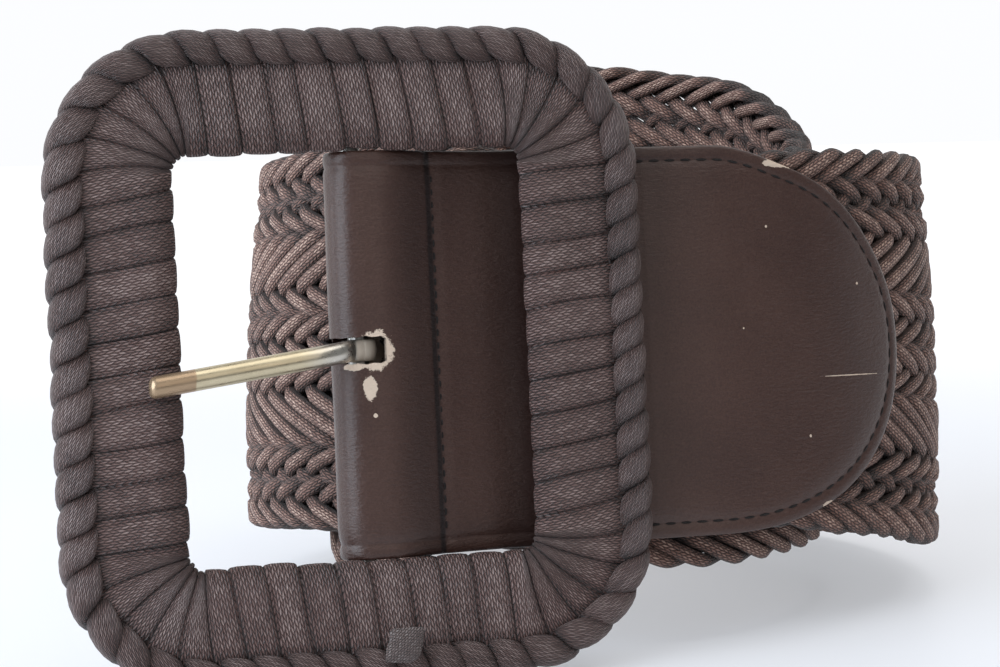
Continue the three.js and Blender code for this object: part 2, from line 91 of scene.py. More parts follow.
# Strap
SEWN_HALF_THICKNESS = 2.6
END_HALF_THICKNESS = 1.6
STRAP_HALF_THICKNESS = 3.25
SETBACK = 7.0
SETBACK_START = 4.0
SETBACK_END = 31.0
CORDS_START = 16.2
COIL_X, COIL_Y = 66.5, 73.6
COIL = np.array([  # angle, radius, lift, half height, inward tilt, outward bow
    [0, 66.6, 0, 38.2, 0, 0], [30, 68.6, -1.2, 39.8, 0, 0.4], [60, 71.6, -3.6, 42.4, 0, 1.2],
    [90, 72.7, -4.2, 42.8, 0, 1.8], [120, 73.4, -4.4, 42.6, 0, 1.8], [150, 73.6, -1.9, 42.1, 0.4, 1.6],
    [180, 73.5, -1.2, 41.6, 1, 1.6], [225, 73.2, 2, 40.8, 2.6, 1.6], [270, 72, 4, 40.2, 3.2, 1.6],
    [310, 67.2, 3.4, 40.2, 2.2, 1], [340, 60, -2, 40.8, 0.4, 0.2], [360, 57, -4.4, 41.4, 0, 0],
    [405, 50, -2, 42.2, 0, 0.5], [430, 47.9, 3, 42.4, 0, 0.8], [450, 46.2, 10.5, 42.5, 0, 0.8],
    [472, 45.8, 18.3, 42.5, 0, 0.8], [495, 47, 22.8, 42.3, 0, 0.8], [520, 49, 26.6, 42, 0, 0.8],
    [545, 50.5, 26, 42, 0, 0.8], [590, 54.5, 13, 41.5, 0, 0.8], [630, 57.4, -4, 41, 0, 0.8],
    [665, 56, -5, 41, 0, 0.8],
])

# Plait: bands from the middle to the edge, as the share of the half height where each one
# ends, and the way that a cord travels along the strap while it crosses the band
BAND_END = np.array([0.135, 0.264, 0.576, 0.698, 0.766, 0.860, 1.0])
BAND_TRAVEL = np.array([12.0, 12, 24, 12, 4, 8, 12])
EDGE_TURN = 4.0
CORD_PITCH = 8.0
HALF_RUN = BAND_TRAVEL.sum()
PERIOD = 4 * HALF_RUN + 2 * EDGE_TURN
CORD_COUNT = round(PERIOD / CORD_PITCH)
CORD_RADIUS = 1.65

rng = np.random.default_rng(7)


def smoothstep(value, low, high):
    """Goes smoothly from 0 at low to 1 at high."""
    t = np.clip((value - low) / (high - low), 0, 1)
    return t * t * (3 - 2 * t)


def to_world(points):
    """Metres of the part's frame, from millimetres of the local frame."""
    points = np.asarray(points, float)
    return BAR + (points[..., :1] * RIGHT + points[..., 1:2] * BACK + points[..., 2:] * UP) / 1000


def unit(vectors):
    return vectors / np.maximum(np.linalg.norm(vectors, axis=-1, keepdims=True), 1e-9)


# Materials


class Shader:
    """A material's node tree with short calls for its usual nodes."""

    def __init__(self, name, **settings):
        self.material = bpy.data.materials.new(name)
        self.material.use_nodes = True
        self.tree = self.material.node_tree
        self.bsdf = self.tree.nodes["Principled BSDF"]
        for socket, value in settings.items():
            self.bsdf.inputs[socket.replace("_", " ")].default_value = value

    def node(self, kind, **settings):
        node = self.tree.nodes.new(kind)
        for key, value in settings.items():
            setattr(node, key, value)
        return node

    def link(self, value, socket):
        if isinstance(value, bpy.types.NodeSocket):
            self.tree.links.new(value, socket)
        elif isinstance(value, tuple) and len(value) == 3 and len(socket.default_value) == 4:
            socket.default_value = (*value, 1)
        else:
            socket.default_value = value

    def math(self, operation, a, b=0.0, c=0.0, clamp=False):
        node = self.node("ShaderNodeMath", operation=operation, use_clamp=clamp)
        for value, socket in zip((a, b, c), node.inputs):
            self.link(value, socket)
        return node.outputs[0]

    def ramp(self, value, low, high, out_low=0.0, out_high=1.0):
        node = self.node("ShaderNodeMapRange", interpolation_type="SMOOTHSTEP")
        for given, socket in zip((value, low, high, out_low, out_high), node.inputs):
            self.link(given, socket)
        return node.outputs[0]

    def mix(self, share, a, b):
        node = self.node("ShaderNodeMix", data_type="RGBA")
        self.link(share, node.inputs[0])
        self.link(a, node.inputs[6])
        self.link(b, node.inputs[7])
        return node.outputs[2]

    def place(self):
        """The place in millimetres of the part's frame."""
        node = self.node("ShaderNodeTexCoord")
        return self.scaled(node.outputs["Object"], (1000, 1000, 1000))

    def scaled(self, vector, factors):
        node = self.node("ShaderNodeVectorMath", operation="MULTIPLY")
        self.link(vector, node.inputs[0])
        node.inputs[1].default_value = factors
        return node.outputs[0]

    def parts(self, vector):
        node = self.node("ShaderNodeSeparateXYZ")
        self.link(vector, node.inputs[0])
        return node.outputs

    def attribute(self, name):
        node = self.node("ShaderNodeAttribute", attribute_name=name)
        return node.outputs["Vector"]

    def noise(self, vector, scale, detail=3.0, roughness=0.55):
        node = self.node("ShaderNodeTexNoise")
        self.link(vector, node.inputs["Vector"])
        node.inputs["Scale"].default_value = scale
        node.inputs["Detail"].default_value = detail
        node.inputs["Roughness"].default_value = roughness
        return node.outputs[0]

    def bump(self, height, distance_mm, strength=1.0):
        node = self.node("ShaderNodeBump")
        node.inputs["Strength"].default_value = strength
        node.inputs["Distance"].default_value = distance_mm / 1000
        self.link(height, node.inputs["Height"])
        return node.outputs[0]

    def use(self, **values):
        for socket, value in values.items():
            self.link(value, self.bsdf.inputs[socket.replace("_", " ")])
        return self.material


def cord_material(name, dark, light, braid, roughness, sheen):
    """Braided cord: slanted stitches in columns along it, with painted shade of their relief, dark in
    the gaps between them. The attribute run holds the place along the cord and across it in
    millimetres and a shade: partly a random tone, partly painted shade where the cord is tucked in or
    meets its neighbours. Braid is a stitch's length, its width and its slant."""
    length, width, slant = braid
    s = Shader(name, Roughness=roughness, Specular_IOR_Level=0.5, Sheen_Weight=sheen)
    along, across, shade = s.parts(s.attribute("run"))
    column = s.math("DIVIDE", across, width)
    parity = s.math("PINGPONG", s.math("FLOOR", column), 1.0)
    lean = s.math("MULTIPLY_ADD", parity, 2 * slant, -slant)
    inside = s.math("SUBTRACT", s.math("FRACT", column), 0.5)
    wobble = s.noise(s.attribute("run"), 0.5, 2)
    phase = s.math("ADD", s.math("DIVIDE", along, length), s.math("MULTIPLY", parity, 0.5))
    phase = s.math("ADD", phase, s.math("MULTIPLY", inside, lean))
    phase = s.math("MULTIPLY_ADD", wobble, 0.5, phase)
    stitch = s.math("SINE", s.math("MULTIPLY", s.math("FRACT", phase), math.pi))
    rope = s.math("SINE", s.math("MULTIPLY", s.math("FRACT", column), math.pi))
    high = s.math("MULTIPLY", s.math("POWER", stitch, 0.55), s.math("POWER", rope, 0.6))
    cell = s.node("ShaderNodeCombineXYZ")
    s.link(s.math("FLOOR", phase), cell.inputs[0])
    s.link(s.math("FLOOR", column), cell.inputs[1])
    single = s.node("ShaderNodeTexWhiteNoise")
    s.link(cell.outputs[0], single.inputs["Vector"])
    fibre = s.noise(s.scaled(s.attribute("run"), (1.0, 5.0, 3.0)), 1.6, 3, 0.6)
    patch = s.noise(s.place(), 0.05, 3)
    # Painted shade of the braid's relief: dark in the gaps between stitches and columns, lighter on
    # their crests
    level = s.math("MULTIPLY", high, s.math("MULTIPLY_ADD", single.outputs["Value"], 0.5, 0.62))
    level = s.math("ADD", level, s.math("MULTIPLY_ADD", fibre, 0.3, -0.15))
    level = s.math("ADD", level, s.math("MULTIPLY_ADD", patch, 0.5, -0.25))
    # The shade attribute darkens the colour: painted shade plus a random tone
    level = s.math("MULTIPLY", level, s.math("MULTIPLY_ADD", shade, 0.95, 0.15), clamp=True)
    middle = tuple(0.45 * a + 0.3 * b * k for a, b, k in zip(dark, light, (1.35, 1.0, 0.95)))
    colour = s.mix(s.ramp(level, 0.0, 0.5), dark, middle)
    colour = s.mix(s.ramp(level, 0.45, 1.0), colour, light)
    relief = s.math("MULTIPLY_ADD", fibre, 0.3, high)
    return s.use(Base_Color=colour, Normal=s.bump(relief, 0.3, 1.0))


def leather_material(name):
    """Glossy grained leather, torn pale beside the prong's slot, with painted shade in the fold's
    valley and along its seam, and a painted shadow of the buckle's side behind it."""
    s = Shader(name, Specular_IOR_Level=0.35, Coat_Roughness=0.3)
    place = s.place()
    turned = s.node("ShaderNodeMapping")
    turned.inputs["Rotation"].default_value = (0, math.radians(40), 0)
    turned.inputs["Scale"].default_value = (0.45, 1.0, 1.5)
    s.link(place, turned.inputs["Vector"])
    grain = s.noise(turned.outputs[0], 1.3, 3, 0.55)
    fine = s.noise(place, 2.6, 4, 0.6)
    broad = s.noise(place, 0.035, 3)
    level = s.math("MULTIPLY_ADD", broad, 0.35, s.math("MULTIPLY", fine, 0.5))
    colour = s.mix(s.ramp(level, 0.25, 0.65), (0.034, 0.0135, 0.010), (0.072, 0.035, 0.026))
    colour = s.mix(s.ramp(grain, 0.55, 0.85, 0.0, 0.25), colour, (0.115, 0.064, 0.050))
    torn, x = torn_leather(s, place)
    # Painted shadow: the leather is darker where the buckle's right side shades it, from 21 to 56 mm
    # along the buckle
    painted_buckle_shadow = s.math("MULTIPLY", s.ramp(x, 21, 32), s.ramp(x, 35, 56, 1.0, 0.0))
    from_seam = s.math("ABSOLUTE", s.math("SUBTRACT", x, CROSS_SEAMS[0]))
    # Painted shade in the groove of the seam beside the bar
    painted_seam_shade = s.ramp(from_seam, 0.2, 0.9, 0.75, 0.0)
    past_seam = s.ramp(x, CROSS_SEAMS[0], CROSS_SEAMS[0] + 1.0, 1.0, 0.0)
    # Painted shade in the fold's valley, between the fold and the seam beside the bar
    valley = s.math("MULTIPLY", s.ramp(x, 3, 12), past_seam)
    shaded = s.math("MULTIPLY_ADD", valley, 0.35, painted_seam_shade)
    shaded = s.math("MULTIPLY_ADD", painted_buckle_shadow, 0.5, shaded, clamp=True)
    # The painted shade and shadow darken the colour towards near black
    colour = s.mix(shaded, colour, (0.010, 0.0045, 0.004))
    colour = s.mix(torn, colour, (0.62, 0.50, 0.40))
    relief = s.math("MULTIPLY_ADD", grain, 1.0, s.math("MULTIPLY", fine, 0.4))
    return s.use(
        Base_Color=colour,
        Roughness=s.math("MULTIPLY_ADD", torn, 0.4, s.ramp(fine, 0.3, 0.75, 0.31, 0.47)),
        Coat_Weight=s.math("MULTIPLY_ADD", torn, -0.28, 0.28),
        Normal=s.bump(relief, 0.24, 0.9),
    )


# Torn patches beside the slot: middle and half size, along the buckle and along the bar
TORN = [(2.3, 0.7, 3.6, 3.7), (1.0, -6.2, 1.3, 2.3), (1.8, -11.4, 0.4, 0.4), (-1.8, -2.2, 1.8, 0.7)]

# Marks on the tab's end, in the same form: raw spots on its rim, a scratch and specks
MARKS = [
    (89.0, 34.6, 5.0, 1.0), (96.3, -34.2, 1.9, 1.0), (103.0, -8.3, 7.0, 0.12),
    (105.6, 10.2, 0.3, 0.3), (84.0, 22.0, 0.25, 0.25), (92.0, -20.0, 0.25, 0.3),
    (78.0, 2.0, 0.2, 0.2),
]


def torn_leather(s, place):
    """1 on the torn patches and marks and 0 elsewhere, and the place along the buckle."""
    from_bar = s.node("ShaderNodeVectorMath", operation="SUBTRACT")
    s.link(place, from_bar.inputs[0])
    from_bar.inputs[1].default_value = tuple(BAR * 1000)
    x, y, _ = s.parts(from_bar.outputs[0])
    upright = s.node("ShaderNodeVectorMath", operation="DOT_PRODUCT")
    s.link(from_bar.outputs[0], upright.inputs[0])
    upright.inputs[1].default_value = tuple(UP)
    z = upright.outputs["Value"]
    ragged = s.math("MULTIPLY_ADD", s.noise(place, 0.9, 4, 0.7), 2.2, -1.1)

    def spots(rows):
        found = 0.0
        for middle_x, middle_z, wide, high in rows:
            across = s.math("DIVIDE", s.math("SUBTRACT", x, middle_x), wide)
            along = s.math("DIVIDE", s.math("SUBTRACT", z, middle_z), high)
            distance = s.math("ADD", s.math("POWER", across, 2.0), s.math("POWER", along, 2.0))
            spot = s.ramp(s.math("ADD", distance, ragged), 0.85, 1.15, 1.0, 0.0)
            found = s.math("MAXIMUM", found, spot)
        return found

    # The torn patches reach the inner side of the back layer, not its outer side
    depth = s.math("MULTIPLY_ADD", z, -LEAN_SINE, y)
    inside = s.ramp(depth, 4.1, 4.5, 1.0, 0.0)
    return s.math("MAXIMUM", s.math("MULTIPLY", spots(TORN), inside), spots(MARKS)), x


def prong_material():
    """Plated wire, silvery at its root, worn brown at the tip, with torn leather fibres
    caught on the loop."""
    s = Shader("prong_gold")
    place = s.place()
    x = s.parts(place)[0]
    bar_x = BAR[0] * 1000
    tip_x = bar_x - PRONG_LENGTH
    scratches = s.noise(s.scaled(place, (0.15, 1.6, 1.6)), 1.0, 3, 0.5)
    cloud = s.noise(place, 0.3, 3)
    edge = s.math("MULTIPLY_ADD", cloud, 0.5, x)
    brown = s.ramp(edge, tip_x + 8.6, tip_x + 9.0, 1.0, 0.0)
    silver = s.ramp(x, tip_x + 27, tip_x + 36)
    fibres = s.ramp(s.math("MULTIPLY_ADD", cloud, 2.0, x), bar_x - 0.6, bar_x + 0.4)
    gold = s.mix(cloud, (0.50, 0.43, 0.29), (0.62, 0.54, 0.38))
    gold = s.mix(silver, gold, (0.60, 0.57, 0.51))
    colour = s.mix(brown, gold, (0.37, 0.26, 0.165))
    colour = s.mix(fibres, colour, (0.60, 0.52, 0.43))
    metal = s.math("SUBTRACT", 1.0, s.math("MULTIPLY_ADD", brown, 0.35, fibres), clamp=True)
    return s.use(
        Base_Color=colour,
        Metallic=metal,
        Roughness=s.math("MULTIPLY_ADD", fibres, 0.5, s.ramp(scratches, 0.3, 0.7, 0.26, 0.36)),
        Normal=s.bump(scratches, 0.006, 0.3),
    )


def steel_material():
    """Brushed metal of the buckle's hidden core."""
    s = Shader("core_steel", Metallic=1.0)
    place = s.place()
    brushed = s.noise(s.scaled(place, (2.0, 2.0, 0.15)), 1.5, 4)
    cloud = s.noise(place, 0.2, 3)
    return s.use(
        Base_Color=s.mix(cloud, (0.34, 0.32, 0.30), (0.52, 0.50, 0.47)),
        Roughness=s.ramp(brushed, 0.3, 0.7, 0.28, 0.5),
        Normal=s.bump(brushed, 0.03, 0.4),
    )


# Meshes


def grid_faces(rows, columns, close_rows=False, close_columns=False, start=0):
    """Quads between the points of a grid that is stored row by row from start."""
    i = np.arange(rows if close_rows else rows - 1)[:, None]
    j = np.arange(columns if close_columns else columns - 1)[None, :]
    i2 = (i + 1) % rows
    j2 = (j + 1) % columns
    quads = np.stack([i * columns + j, i2 * columns + j, i2 * columns + j2, i * columns + j2], -1)
    return quads.reshape(-1, 4) + start


def make_piece(name, points, faces, material, body, run=None, replaced=()):
    """Joins points in local millimetres and faces into one piece that rides on a body."""
    mesh = bpy.data.meshes.new(name)
    mesh.from_pydata(to_world(points).tolist(), [], faces)
    mesh.validate()
    if run is not None:
        attribute = mesh.attributes.new("run", "FLOAT_VECTOR", "POINT")
        attribute.data.foreach_set("vector", np.asarray(run, np.float32).ravel())
    mesh.polygons.foreach_set("use_smooth", np.ones(len(mesh.polygons), bool))
    mesh.materials.append(material)
    mesh.update()
    piece = bpy.data.objects.new(name, mesh)
    bpy.context.scene.collection.objects.link(piece)
    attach(piece, body)
    if replaced:
        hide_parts(*replaced)
    return piece


class Pile:
    """Many closed tubes gathered into one mesh."""

    def __init__(self):
        self.points, self.faces, self.run, self.count = [], [], [], 0

    def add_tube(self, rings, run):
        """Rings is rows x sides x 3, run the same shape. Both ends are closed."""
        rows, sides = rings.shape[:2]
        self.points.append(rings.reshape(-1, 3))
        self.run.append(run.reshape(-1, 3))
        self.faces += grid_faces(rows, sides, close_columns=True, start=self.count).tolist()
        self.faces.append(list(range(self.count + sides - 1, self.count - 1, -1)))
        last = self.count + (rows - 1) * sides
        self.faces.append(list(range(last, last + sides)))
        self.count += rows * sides

    def piece(self, name, material, body, slot, replaced=()):
        return make_piece(
            name, np.concatenate(self.points), self.faces, material, body,
            np.concatenate(self.run), replaced,
        )


# Strap's route


def smooth_table(rows, angles):
    """Cubic between the rows, through each one, level at the start."""
    keys = rows[:, 0]
    index = np.clip(np.searchsorted(keys, angles, side="right") - 1, 0, len(keys) - 2)
    before, after = np.maximum(index - 1, 0), np.minimum(index + 2, len(keys) - 1)
    span = keys[index + 1] - keys[index]
    t = ((angles - keys[index]) / span)[:, None]
    here, there = rows[index, 1:], rows[index + 1, 1:]
    slope = (there - rows[before, 1:]) / (keys[index + 1] - keys[before])[:, None] * span[:, None]
    slope[index == 0] = 0
    ahead = (rows[after, 1:] - here) / (keys[after] - keys[index])[:, None] * span[:, None]
    return (
        here * (2 * t**3 - 3 * t**2 + 1) + slope * (t**3 - 2 * t**2 + t)
        + there * (3 * t**2 - 2 * t**3) + ahead * (t**3 - t**2)
    )


def build_route():
    """Lengths along the strap's middle, with x, y, lift, half height, tilt, bow and normal."""
    xs = np.arange(0, COIL_X, 1.0)
    straight = np.stack([xs, SETBACK * smoothstep(xs, SETBACK_START, SETBACK_END)], 1)
    straight = np.concatenate([straight, np.repeat(COIL[:1, 2:], len(xs), 0)], 1)
    angles = np.arange(0, COIL[-1, 0] + 0.5, 1.0)
    table = smooth_table(COIL, angles)
    radius, turn = table[:, 0], np.radians(angles)
    coil = np.concatenate([
        np.stack([COIL_X + radius * np.sin(turn), COIL_Y - radius * np.cos(turn)], 1), table[:, 1:],
    ], 1)
    route = np.concatenate([straight, coil])
    step = np.linalg.norm(np.diff(route[:, :2], axis=0), axis=1)
    length = np.concatenate([[0], np.cumsum(step)])
    direction = unit(np.gradient(route[:, :2], axis=0))
    return length, np.concatenate([route, -direction[:, 1:], direction[:, :1]], 1)


ROUTE_LENGTH, ROUTE = build_route()
STRAP_LENGTH = ROUTE_LENGTH[-1]


def route_at(length):
    """x, y, lift, half height, tilt, bow and the normal's x and y at a length of the strap."""
    return [np.interp(length, ROUTE_LENGTH, column) for column in ROUTE.T]


def beside(length, offset, height):
    """A point at a length along the route: offset to its inner side, and height."""
    x, y, *_, nx, ny = route_at(length)
    return np.stack(np.broadcast_arrays(x + nx * offset, y + ny * offset, height), -1)


def strap_half_height(length):
    """Half the strap's height, held below the tab's inside the leather."""
    half = route_at(length)[3]
    t = np.clip((length - TAB_STRAIGHT_END) / 30, 0, 1)
    inner = TAB_HALF_HEIGHT - 1
    return np.minimum(half, inner + (half - inner) * t)


def strap_thickness(length):
    """Half the strap's thickness: thin at the seam beside the bar, full on the free strap."""
    thin = (SEWN_HALF_THICKNESS - END_HALF_THICKNESS) * (1 - smoothstep(length, 14, 27))
    swell = STRAP_HALF_THICKNESS - SEWN_HALF_THICKNESS
    return SEWN_HALF_THICKNESS - thin + swell * (1 - sewn(length))


def sewn(length):
    """1 inside the leather, 0 on the free strap."""
    return 1 - np.clip((length - TAB_END + 10) / 24, 0, 1)


# Plaited strap


def plait_tables():
    """Place across the strap and side, of one cord over one period."""
    step, softness, reach = 0.25, 1.55, 32
    bands = len(BAND_END)
    phase = np.arange(0, PERIOD, step)
    travel = np.concatenate([[0], np.cumsum(BAND_TRAVEL)])
    ends = np.concatenate([[0], BAND_END])
    signed_travel = np.concatenate([-travel[:0:-1], travel])
    signed_ends = np.concatenate([-ends[:0:-1], ends])
    rise = np.interp(phase - HALF_RUN, signed_travel, signed_ends)
    fall = np.interp(3 * HALF_RUN + EDGE_TURN - phase, signed_travel, signed_ends)
    rising = phase < 2 * HALF_RUN + EDGE_TURN / 2
    falling = ~rising & (phase < PERIOD - EDGE_TURN / 2)
    across = np.where(rising, rise, fall)
    band = np.searchsorted(BAND_END, np.abs(across) * 0.99999)
    number = np.where(across >= 0, bands - band, bands + 1 + band)
    odd = number % 2 == 1
    side = np.where(odd == (rising | ~falling), 1.0, -1.0)
    kernel = np.exp(-0.5 * (np.arange(-reach, reach + 1) * step / softness) ** 2)
    kernel /= kernel.sum()

    def soften(values):
        wrapped = np.concatenate([values[-reach:], values, values[:reach]])
        return np.convolve(wrapped, kernel, "valid")

    return phase, soften(across), soften(side)


PHASE, ACROSS, SIDE = plait_tables()


def plait_stations():
    """Phases at which a cord gets a ring: close together where it turns at an edge."""
    phases, here = [], 0.0
    while here < PERIOD:
        phases.append(here)
        to_turn = min(abs(here - 2 * HALF_RUN - EDGE_TURN / 2), PERIOD - EDGE_TURN / 2 - here)
        near = abs(to_turn) < 7 or here < 4
        here += 1.3 if near else 2.7
    return np.array(phases)


def plaited_strap():
    """Every cord of the plait as a closed tube, from inside the tab to the free end."""
    sides = 10
    around = 2 * np.pi * np.arange(sides) / sides
    stations = plait_stations()
    piles = [Pile(), Pile()]
    material = cord_material(
        "waxed_cord", (0.006, 0.0035, 0.0028), (0.50, 0.345, 0.275), (1.3, 0.6, 0.5), 0.6, 0.05
    )
    for cord in range(CORD_COUNT):
        start = -CORD_PITCH * cord
        laps = [stations + start + PERIOD * lap for lap in range(-1, 5)]
        length = np.concatenate(laps)
        length = length[(length > CORDS_START + 0.8) & (length < STRAP_LENGTH - 1)]
        starting, ending = [CORDS_START, CORDS_START + 0.6], [STRAP_LENGTH - 0.6, STRAP_LENGTH - 0.1]
        length = np.concatenate([starting, length, ending])
        phase = np.mod(length - start, PERIOD)
        across = np.interp(phase, PHASE, ACROSS, period=PERIOD)
        side = np.interp(phase, PHASE, SIDE, period=PERIOD)
        pressed = sewn(length)
        flat = np.minimum(strap_thickness(length) / SEWN_HALF_THICKNESS, 1)
        half = strap_half_height(length)
        radius = CORD_RADIUS * (1 - 0.13 * pressed) * flat
        high = 1.58 * (1 - 0.32 * pressed) * flat
        uneven = 0.14 * np.sin(length / 9.0 + cord * 2.3) + 0.12 * np.sin(length / 23.0 + cord)
        _, _, lift, _, tilt, bow, nx, ny = route_at(length)
        lift = lift + across * (half - CORD_RADIUS)
        share = across * (half - CORD_RADIUS) / half
        shape = tilt * share + bow * (share**2 - 0.35)
        middle = beside(length, shape - side * high + uneven * 0.6, lift + uneven)
        along = unit(np.gradient(middle, axis=0))
        normal = np.stack([nx, ny, np.zeros_like(nx)], -1)
        wide = unit(np.cross(along, normal))
        deep = np.cross(wide, along)
        steep = np.abs(np.gradient(lift, length))
        spacing = CORD_PITCH * steep / np.sqrt(1 + steep**2)
        width = np.clip(spacing / 2, 1.4, 1.8)
        width = np.convolve(np.pad(width, 2, "edge"), np.ones(5) / 5, "valid")
        taper = np.ones_like(length)
        taper[[0, -1]] = 0.8
        ring = (
            middle[:, None]
            + wide[:, None] * (width * taper)[:, None, None] * np.cos(around)[None, :, None]
            + deep[:, None] * (radius * taper)[:, None, None] * np.sin(around)[None, :, None]
        )
        out = np.einsum("rsk,rk->rs", ring - beside(length, shape, lift)[:, None], normal)
        # Painted shade: each cord is darker where it sinks into the plait's middle among its
        # neighbours; a quarter of the shade is a random tone per cord
        unshaded_share = smoothstep(np.abs(out) / strap_thickness(length)[:, None], 0.52, 1.02)
        walked = np.concatenate([[0], np.cumsum(np.linalg.norm(np.diff(middle, axis=0), axis=1))])
        shade = 0.25 * rng.random() + 0.75 * unshaded_share
        run = np.stack(np.broadcast_arrays(
            walked[:, None] + cord * 37.0,
            (np.arange(sides) / sides)[None, :] * 2 * math.pi * CORD_RADIUS,
            shade,
        ), -1)
        piles[cord % 2].add_tube(ring, run)
    piles[0].piece("strap_cords_a", material, "belt", "strap_cord", ("strap",))
    piles[1].piece("strap_cords_b", material, "belt", "strap_cord")


# Cord-wound buckle


def frame_station(distance):
    """The matching places on the opening's edge and on the outline, anticlockwise from
    the middle of the right side."""
    distance = np.mod(distance, OUTLINE_LENGTH)
    index = np.floor(distance / QUARTER).astype(int) % 4
    rest = distance - index * QUARTER
    rest = np.where(index % 2 == 1, QUARTER - rest, rest)
    side_x, side_z = OPENING_HALF_WIDTH - OPENING_CORNER, OPENING_HALF_HEIGHT - OPENING_CORNER
    at_side = rest <= SIDE_RUN
    at_corner = rest <= SIDE_RUN + CORNER_RUN
    turn = (rest - SIDE_RUN) / OUTER_CORNER
    up = rest / SIDE_RUN
    over = 1 - (rest - SIDE_RUN - CORNER_RUN) / TOP_RUN

    def pick(side, corner, top):
        return np.where(at_side, side, np.where(at_corner, corner, top))

    inner_x = pick(OPENING_HALF_WIDTH, side_x + OPENING_CORNER * np.cos(turn), side_x * over)
    inner_z = pick(side_z * up, side_z + OPENING_CORNER * np.sin(turn), OPENING_HALF_HEIGHT)
    outer_x = pick(OUTER_HALF_WIDTH, TOP_RUN + OUTER_CORNER * np.cos(turn), TOP_RUN * over)
    outer_z = pick(SIDE_RUN * up, SIDE_RUN + OUTER_CORNER * np.sin(turn), OUTER_HALF_HEIGHT)
    sign_x = np.where((index == 1) | (index == 2), -1, 1)
    sign_z = np.where(index >= 2, -1, 1)
    return sign_x * inner_x, sign_z * inner_z, sign_x * outer_x, sign_z * outer_z


def outline_distance(seam):
    """Distance along the outline at a distance along the ridge's inner boundary."""
    seam = np.mod(seam, 4 * SEAM_QUARTER)
    index = np.floor(seam / SEAM_QUARTER)
    mirrored = index % 2 == 1
    rest = np.where(mirrored, (index + 1) * SEAM_QUARTER - seam, seam - index * SEAM_QUARTER)
    along = np.interp(
        rest, [0, SIDE_RUN, SIDE_RUN + SEAM_CORNER, SEAM_QUARTER],
        [0, SIDE_RUN, SIDE_RUN + CORNER_RUN, QUARTER],
    )
    return QUARTER * (index + mirrored) + np.where(mirrored, -along, along)


def frame_point(seam, outward, depth):
    """Seam is a distance along the ridge's inner boundary; outward is in millimetres of
    the straight sides, from the opening's edge."""
    inner_x, inner_z, outer_x, outer_z = frame_station(outline_distance(seam))
    share = outward / RING_WIDTH
    return np.stack(np.broadcast_arrays(
        FRAME_SHIFT + inner_x + (outer_x - inner_x) * share,
        FRAME_PLANE + depth,
        inner_z + (outer_z - inner_z) * share,
    ), -1)


def curve_through(points, count):
    """Evenly spaced places on a smooth curve through the points, and normals to its right."""
    points = np.asarray(points, float)
    padded = np.concatenate([2 * points[:1] - points[1:2], points, 2 * points[-1:] - points[-2:-1]])
    rows = []
    for i in range(len(points) - 1):
        a, b, c, d = padded[i:i + 4]
        t = np.linspace(0, 1, 20, endpoint=False)[:, None]
        rows.append(0.5 * (
            2 * b + (c - a) * t + (2 * a - 5 * b + 4 * c - d) * t**2
            + (3 * b - a - 3 * c + d) * t**3
        ))
    dense = np.concatenate(rows + [points[-1:]])
    length = np.concatenate([[0], np.cumsum(np.linalg.norm(np.diff(dense, axis=0), axis=1))])
    at = np.linspace(0, length[-1], count)
    places = np.stack([np.interp(at, length, dense[:, k]) for k in range(2)], 1)
    ahead = unit(np.gradient(places, axis=0))
    return places, np.stack([ahead[:, 1], -ahead[:, 0]], 1), at


# The wrapping's top from under the ridge at the front, over the opening's edge, to the back:
# place outward from the edge, and depth
WRAP_FRONT = [
    (17.4, -2.9), (15.4, -3.5), (12.6, -3.9), (9.0, -4.25), (6.2, -4.5), (4.2, -4.6),
    (2.2, -4.3), (0.6, -3.7), (-0.6, -2.9), (-0.95, -2.3),
]
WRAP_BACK = [(0.4, 1.8), (1.5, 3.15), (3.0, 4.05), (4.6, 4.45), (9.0, 4.35), (15.4, 3.65), (17.4, 2.9)]
WRAP_PATH = WRAP_FRONT + [(-0.5, -1.2), (0.0, 0.3)] + WRAP_BACK
WRAP_SLANT = 2.75
RIDGE_SLANT = 3.8
RIDGE_LAY = math.radians(55)

# Sections of a cord: place across it as a share of half its width, and depth below its
# top as a share of its thickness
FLAT_SECTION = np.array([
    (-1.0, 0.8), (-0.96, 0.42), (-0.84, 0.17), (-0.5, 0.03), (0.0, 0.0), (0.5, 0.03),
    (0.84, 0.17), (0.96, 0.42), (1.0, 0.8), (0.8, 1.0), (-0.8, 1.0),
])
PUFFY_SECTION = np.array([
    (-1.0, 0.75), (-0.9, 0.44), (-0.72, 0.22), (-0.4, 0.06), (0.0, 0.0), (0.4, 0.04),
    (0.72, 0.16), (0.92, 0.36), (1.02, 0.7), (0.8, 1.0), (-0.8, 1.0),
])


def wound_cord(path, normal, walked, place, section, width, thickness, tilt, uneven, saw=0.0):
    """One turn of cord along a path of the frame's cross-section. Place is its middle's
    distance along the seam, saw shifts its two sides outward and inward."""
    across, below = section.T
    half = np.reshape(width, (-1, 1)) / 2
    seam = place[:, None] + across[None, :] * half
    height = tilt * across[None, :] - below[None, :] * thickness + np.reshape(uneven, (-1, 1))
    outward = path[:, :1] + normal[:, :1] * height + np.reshape(saw, (-1, 1)) * across[None, :]
    depth = path[:, 1:] + normal[:, 1:] * height
    run = np.stack(np.broadcast_arrays(walked[:, None], across[None, :] * half, 0.0), -1)
    return frame_point(seam, outward, depth), run.copy()


